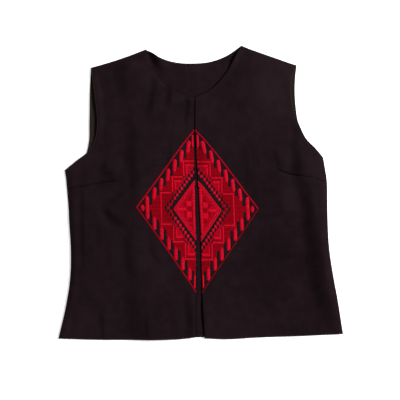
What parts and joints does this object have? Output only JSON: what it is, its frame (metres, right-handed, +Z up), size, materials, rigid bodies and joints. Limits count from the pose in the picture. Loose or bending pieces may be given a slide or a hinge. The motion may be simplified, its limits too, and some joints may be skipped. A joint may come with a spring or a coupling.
{
  "type": "embroidered folk vest laid flat",
  "caption": "Sleeveless open-front vest of black cloth with darts and a large diamond of red embroidery split by the opening, laid flat.",
  "frame": {"origin": "middle of the laid vest's outline, on the surface that it lies on", "axes": "+Z up from the surface, +Y towards the neck, +X towards the wearer's left front"},
  "size_m": [0.5121, 0.5301, 0.0106],
  "materials": {
    "black_cloth": "matte plain weave, near black with a purplish brown cast",
    "red_thread": "satin stitch in glossy red thread, bright and dark"
  },
  "bodies": {
    "root": {"back": "black_cloth", "front_right": "black_cloth", "front_left": "black_cloth", "embroidery_right_frame": "red_thread", "embroidery_right_centre": "red_thread", "embroidery_left_frame": "red_thread", "embroidery_left_centre": "red_thread"}
  },
  "joints": []
}
